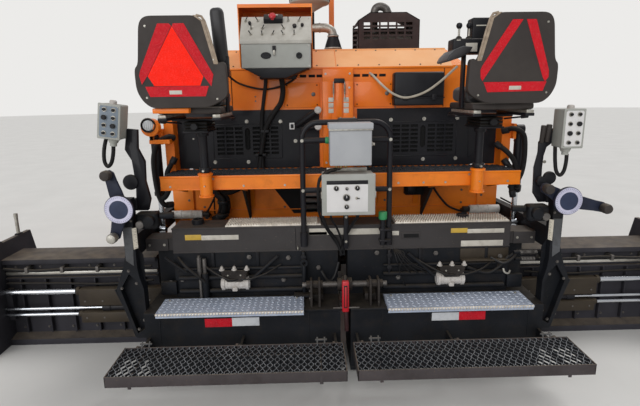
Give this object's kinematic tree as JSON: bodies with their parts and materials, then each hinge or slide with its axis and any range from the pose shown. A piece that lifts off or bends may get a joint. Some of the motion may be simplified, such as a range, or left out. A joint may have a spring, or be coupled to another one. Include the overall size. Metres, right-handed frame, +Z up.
{
  "type": "asphalt paver",
  "caption": "Wheeled asphalt paver with folding hopper, slat conveyors, augers and a towed screed with sliding extensions and rear walkways.",
  "frame": {"origin": "on the ground under the middle of the machine's box, with the screed lowered", "axes": "+X to the machine's right, +Y forward to the hopper, +Z up"},
  "size_m": [4.72, 5.9, 2.96],
  "materials": {
    "aluminium_plate": "brushed",
    "beam_steel": "matte",
    "black_sheet": "satin",
    "chrome_rod": "polished",
    "crank_blue": "gloss",
    "cylinder_black": "gloss",
    "engine_metal": "satin",
    "frame_steel": "satin",
    "grey_box": "satin",
    "guard_steel": "matte",
    "orange_paint": "gloss",
    "rim_paint": "satin",
    "screed_steel": "worn",
    "seat_shell": "satin",
    "seat_vinyl": "satin",
    "tyre": "matte",
    "vibrator_paint": "satin",
    "worn_steel": "worn"
  },
  "bodies": {
    "chassis": {"chassis_frame": "frame_steel", "body_shell": "orange_paint", "rear_grille": "black_sheet", "engine_block": "engine_metal", "exhaust_guard": "guard_steel", "air_intake": "guard_steel", "lamp_mast": "orange_paint", "rear_deck": "orange_paint", "side_posts": "orange_paint", "console": "grey_box", "console_hood": "orange_paint", "axles": "frame_steel", "conveyors": "worn_steel", "hopper_body": "worn_steel", "push_beam": "orange_paint"},
    "screed": {"screed_boxes": "screed_steel", "screed_frame": "screed_steel", "crown_screw": "beam_steel", "step_plates": "aluminium_plate", "step_beam": "beam_steel", "tow_arms": "beam_steel", "hoop_rail": "beam_steel", "control_boxes": "grey_box", "vibrators": "vibrator_paint", "pendants": "grey_box"},
    "rear_wheel_left": {"rear_tyre_left": "tyre", "rear_rim_left": "rim_paint"},
    "knuckle_left": {"knuckle_left": "frame_steel"},
    "front_wheel_left": {"front_wheel_left": "tyre"},
    "wing_left": {"wing_left": "orange_paint"},
    "wing_barrel_left": {"wing_barrel_left": "cylinder_black"},
    "wing_rod_left": {"wing_rod_left": "chrome_rod"},
    "lift_barrel_left": {"lift_barrel_left": "cylinder_black"},
    "lift_rod_left": {"lift_rod_left": "chrome_rod"},
    "extension_left": {"extension_left": "screed_steel", "slide_rods_left": "chrome_rod"},
    "walkway_left": {"walkway_left": "worn_steel"},
    "crank_left": {"crank_left": "crank_blue"},
    "station_left": {"seat_left": "seat_shell", "cushions_left": "seat_vinyl"},
    "auger_left": {"auger_left": "worn_steel"},
    "push_roller_left": {"push_roller_left": "worn_steel"},
    "rear_wheel_right": {"rear_tyre_right": "tyre", "rear_rim_right": "rim_paint"},
    "knuckle_right": {"knuckle_right": "frame_steel"},
    "front_wheel_right": {"front_wheel_right": "tyre"},
    "wing_right": {"wing_right": "orange_paint"},
    "wing_barrel_right": {"wing_barrel_right": "cylinder_black"},
    "wing_rod_right": {"wing_rod_right": "chrome_rod"},
    "lift_barrel_right": {"lift_barrel_right": "cylinder_black"},
    "lift_rod_right": {"lift_rod_right": "chrome_rod"},
    "extension_right": {"extension_right": "screed_steel", "slide_rods_right": "chrome_rod"},
    "walkway_right": {"walkway_right": "worn_steel"},
    "crank_right": {"crank_right": "crank_blue"},
    "station_right": {"seat_right": "seat_shell", "cushions_right": "seat_vinyl"},
    "auger_right": {"auger_right": "worn_steel"},
    "push_roller_right": {"push_roller_right": "worn_steel"}
  },
  "joints": [
    {"name": "screed_lift", "type": "hinge", "parent": "chassis", "child": "screed", "pos_m": [0, 0.46, 0.5], "axis": [-1, 0, 0], "range_deg": [0, 4]},
    {"name": "rear_wheel_left_spin", "type": "hinge", "parent": "chassis", "child": "rear_wheel_left", "pos_m": [-1.01, -0.4, 0.725], "axis": [1, 0, 0], "continuous": true},
    {"name": "steer_left", "type": "hinge", "parent": "chassis", "child": "knuckle_left", "pos_m": [-0.77, 1.5, 0.28], "axis": [0, 0, 1], "range_deg": [-25, 25]},
    {"name": "front_wheel_left_spin", "type": "hinge", "parent": "knuckle_left", "child": "front_wheel_left", "pos_m": [-0.95, 1.5, 0.28], "axis": [1, 0, 0], "continuous": true},
    {"name": "wing_left_fold", "type": "hinge", "parent": "chassis", "child": "wing_left", "pos_m": [-0.7, 1.6, 0.68], "axis": [0, 1, 0], "range_deg": [0, 50]},
    {"name": "wing_barrel_left_swing", "type": "hinge", "parent": "chassis", "child": "wing_barrel_left", "pos_m": [-0.8, 0.71, 0.35], "axis": [0, 1, 0], "range_deg": [0, 25.38]},
    {"name": "wing_rod_left_stroke", "type": "slide", "parent": "wing_barrel_left", "child": "wing_rod_left", "axis": [-0.6217, 0, 0.7833], "range_m": [0, 0.20194]},
    {"name": "lift_barrel_left_swing", "type": "hinge", "parent": "chassis", "child": "lift_barrel_left", "pos_m": [-1.225, -1.94, 1.45], "axis": [1, 0, 0], "range_deg": [0, 3.17]},
    {"name": "lift_rod_left_stroke", "type": "slide", "parent": "lift_barrel_left", "child": "lift_rod_left", "axis": [0, 0, 1], "range_m": [0, 0.16594]},
    {"name": "extension_left_slide", "type": "slide", "parent": "screed", "child": "extension_left", "axis": [1, 0, 0], "range_m": [0, 1.04]},
    {"name": "walkway_left_fold", "type": "hinge", "parent": "screed", "child": "walkway_left", "pos_m": [-0.65, -2.64, 0.284], "axis": [-1, 0, 0], "range_deg": [0, 92]},
    {"name": "crank_left_turn", "type": "hinge", "parent": "screed", "child": "crank_left", "pos_m": [-1.278, -2.52, 1.08], "axis": [0, 1, 0], "continuous": true},
    {"name": "station_left_swing", "type": "hinge", "parent": "chassis", "child": "station_left", "pos_m": [-0.845, -2.24, 1.16], "axis": [0, 0, -1], "range_deg": [0, 35]},
    {"name": "auger_left_spin", "type": "hinge", "parent": "chassis", "child": "auger_left", "pos_m": [-0.6, -1.4, 0.35], "axis": [1, 0, 0], "continuous": true},
    {"name": "push_roller_left_spin", "type": "hinge", "parent": "chassis", "child": "push_roller_left", "pos_m": [-0.45, 2.875, 0.48], "axis": [1, 0, 0], "continuous": true},
    {"name": "rear_wheel_right_spin", "type": "hinge", "parent": "chassis", "child": "rear_wheel_right", "pos_m": [1.01, -0.4, 0.725], "axis": [1, 0, 0], "continuous": true},
    {"name": "steer_right", "type": "hinge", "parent": "chassis", "child": "knuckle_right", "pos_m": [0.77, 1.5, 0.28], "axis": [0, 0, 1], "range_deg": [-25, 25]},
    {"name": "front_wheel_right_spin", "type": "hinge", "parent": "knuckle_right", "child": "front_wheel_right", "pos_m": [0.95, 1.5, 0.28], "axis": [1, 0, 0], "continuous": true},
    {"name": "wing_right_fold", "type": "hinge", "parent": "chassis", "child": "wing_right", "pos_m": [0.7, 1.6, 0.68], "axis": [0, -1, 0], "range_deg": [0, 50]},
    {"name": "wing_barrel_right_swing", "type": "hinge", "parent": "chassis", "child": "wing_barrel_right", "pos_m": [0.8, 0.71, 0.35], "axis": [0, -1, 0], "range_deg": [0, 25.38]},
    {"name": "wing_rod_right_stroke", "type": "slide", "parent": "wing_barrel_right", "child": "wing_rod_right", "axis": [0.6217, 0, 0.7833], "range_m": [0, 0.20194]},
    {"name": "lift_barrel_right_swing", "type": "hinge", "parent": "chassis", "child": "lift_barrel_right", "pos_m": [1.225, -1.94, 1.45], "axis": [1, 0, 0], "range_deg": [0, 3.17]},
    {"name": "lift_rod_right_stroke", "type": "slide", "parent": "lift_barrel_right", "child": "lift_rod_right", "axis": [0, 0, 1], "range_m": [0, 0.16594]},
    {"name": "extension_right_slide", "type": "slide", "parent": "screed", "child": "extension_right", "axis": [-1, 0, 0], "range_m": [0, 1.04]},
    {"name": "walkway_right_fold", "type": "hinge", "parent": "screed", "child": "walkway_right", "pos_m": [0.65, -2.64, 0.284], "axis": [-1, 0, 0], "range_deg": [0, 92]},
    {"name": "crank_right_turn", "type": "hinge", "parent": "screed", "child": "crank_right", "pos_m": [1.278, -2.52, 1.08], "axis": [0, 1, 0], "continuous": true},
    {"name": "station_right_swing", "type": "hinge", "parent": "chassis", "child": "station_right", "pos_m": [0.845, -2.24, 1.16], "axis": [0, 0, 1], "range_deg": [0, 35]},
    {"name": "auger_right_spin", "type": "hinge", "parent": "chassis", "child": "auger_right", "pos_m": [0.6, -1.4, 0.35], "axis": [1, 0, 0], "continuous": true},
    {"name": "push_roller_right_spin", "type": "hinge", "parent": "chassis", "child": "push_roller_right", "pos_m": [0.45, 2.875, 0.48], "axis": [1, 0, 0], "continuous": true}
  ],
  "couplings": [
    {"joint": "wing_barrel_left_swing", "follows": "wing_left_fold", "ratio": 0.50763},
    {"joint": "wing_rod_left_stroke", "follows": "wing_left_fold", "m_per_rad": 0.23141},
    {"joint": "lift_barrel_left_swing", "follows": "screed_lift", "ratio": 0.79266},
    {"joint": "lift_rod_left_stroke", "follows": "screed_lift", "m_per_rad": 2.377},
    {"joint": "wing_barrel_right_swing", "follows": "wing_right_fold", "ratio": 0.50763},
    {"joint": "wing_rod_right_stroke", "follows": "wing_right_fold", "m_per_rad": 0.23141},
    {"joint": "lift_barrel_right_swing", "follows": "screed_lift", "ratio": 0.79266},
    {"joint": "lift_rod_right_stroke", "follows": "screed_lift", "m_per_rad": 2.377},
    {"joint": "steer_left", "follows": "steer_right", "ratio": 1}
  ]
}
